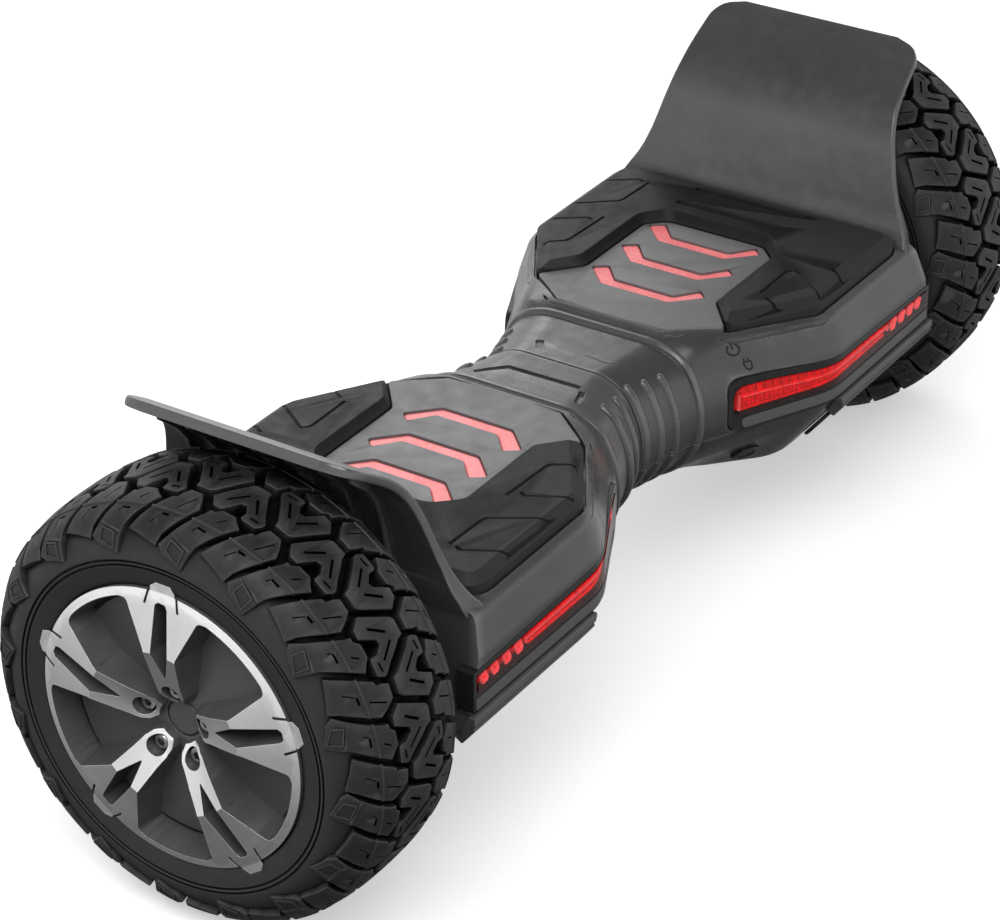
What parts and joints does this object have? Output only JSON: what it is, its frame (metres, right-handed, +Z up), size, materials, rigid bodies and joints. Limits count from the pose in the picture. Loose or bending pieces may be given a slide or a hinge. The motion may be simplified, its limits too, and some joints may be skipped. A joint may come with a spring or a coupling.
{
  "type": "self balancing hoverboard",
  "caption": "Self balancing hoverboard: twin footboards that twist about a centre pivot, with off-road hub motor wheels, fenders, rubber foot mats and side lights.",
  "frame": {"origin": "on the ground, straight below the centre of the pivot between the two halves", "axes": "+X along the wheel axles towards the rider's right, +Y forwards, +Z up; the wheels stand on the plane z = 0 and their axles are at z = 0.108 m"},
  "size_m": [0.656, 0.216, 0.2348],
  "materials": {
    "shell": "satin",
    "panel": "satin",
    "trim": "gloss",
    "mat": "matte",
    "tail_lens": "gloss",
    "head_lens": "gloss",
    "light_guide": "satin",
    "tyre": "matte",
    "rim": "satin",
    "cover": "satin",
    "cast": "matte",
    "steel": "satin",
    "bush": "satin",
    "stator": "satin",
    "board": "satin",
    "battery": "matte",
    "socket": "satin",
    "cap": "matte",
    "plunger": "matte"
  },
  "bodies": {
    "right_half": {"right_top_shell": "shell", "right_bottom_shell": "shell", "right_deck_panel": "panel", "right_deck_light_guide": "light_guide", "right_foot_mat": "mat", "right_frame": "cast", "right_sensor_board": "board", "right_rear_light_bezel": "trim", "right_rear_light_lens": "tail_lens", "right_rear_bumper_strip": "shell", "right_front_light_bezel": "trim", "right_front_light_lens": "head_lens", "right_front_bumper_strip": "shell", "right_axle": "steel", "right_motor_stator": "stator", "pivot_bush": "bush", "battery_pack": "battery", "charge_socket": "socket"},
    "left_half": {"left_top_shell": "shell", "left_bottom_shell": "shell", "left_deck_panel": "panel", "left_deck_light_guide": "light_guide", "left_foot_mat": "mat", "left_frame": "cast", "left_sensor_board": "board", "left_rear_light_bezel": "trim", "left_rear_light_lens": "tail_lens", "left_rear_bumper_strip": "shell", "left_front_light_bezel": "trim", "left_front_light_lens": "head_lens", "left_front_bumper_strip": "shell", "left_axle": "steel", "left_motor_stator": "stator", "pivot_tube": "steel", "pivot_collar": "steel", "main_board": "board"},
    "right_wheel": {"right_tyre": "tyre", "right_wheel_rim": "rim", "right_wheel_cover": "cover", "right_motor_cover": "rim", "right_wheel_bolt_1": "steel", "right_wheel_bolt_2": "steel", "right_wheel_bolt_3": "steel", "right_wheel_bolt_4": "steel", "right_wheel_bolt_5": "steel"},
    "left_wheel": {"left_tyre": "tyre", "left_wheel_rim": "rim", "left_wheel_cover": "cover", "left_motor_cover": "rim", "left_wheel_bolt_1": "steel", "left_wheel_bolt_2": "steel", "left_wheel_bolt_3": "steel", "left_wheel_bolt_4": "steel", "left_wheel_bolt_5": "steel"},
    "left_rear_plunger": {"left_rear_foot_plunger": "plunger"},
    "left_front_plunger": {"left_front_foot_plunger": "plunger"},
    "right_rear_plunger": {"right_rear_foot_plunger": "plunger"},
    "right_front_plunger": {"right_front_foot_plunger": "plunger"},
    "power_button": {"power_button": "socket"},
    "charge_cap": {"charge_cap": "cap"}
  },
  "joints": [
    {"name": "half_twist", "type": "hinge", "parent": "right_half", "child": "left_half", "pos_m": [0, 0, 0.108], "axis": [1, 0, 0], "range_deg": [-12, 12], "stiffness_Nm_per_rad": 1},
    {"name": "left_wheel_spin", "type": "hinge", "parent": "left_half", "child": "left_wheel", "pos_m": [-0.286, 0, 0.108], "axis": [1, 0, 0], "continuous": true},
    {"name": "right_wheel_spin", "type": "hinge", "parent": "right_half", "child": "right_wheel", "pos_m": [0.286, 0, 0.108], "axis": [1, 0, 0], "continuous": true},
    {"name": "left_rear_plunger_press", "type": "slide", "parent": "left_half", "child": "left_rear_plunger", "axis": [0, 0, -1], "range_m": [0, 0.0022], "stiffness_N_per_m": 400},
    {"name": "left_front_plunger_press", "type": "slide", "parent": "left_half", "child": "left_front_plunger", "axis": [0, 0, -1], "range_m": [0, 0.0022], "stiffness_N_per_m": 400},
    {"name": "right_rear_plunger_press", "type": "slide", "parent": "right_half", "child": "right_rear_plunger", "axis": [0, 0, -1], "range_m": [0, 0.0022], "stiffness_N_per_m": 400},
    {"name": "right_front_plunger_press", "type": "slide", "parent": "right_half", "child": "right_front_plunger", "axis": [0, 0, -1], "range_m": [0, 0.0022], "stiffness_N_per_m": 400},
    {"name": "power_button_press", "type": "slide", "parent": "right_half", "child": "power_button", "axis": [0.3803, 0.6605, 0.6475], "range_m": [0, 0.0015], "stiffness_N_per_m": 600},
    {"name": "charge_cap_flip", "type": "hinge", "parent": "right_half", "child": "charge_cap", "pos_m": [0.142, -0.08576, 0.07652], "axis": [-1, 0, 0], "range_deg": [0, 120]}
  ]
}
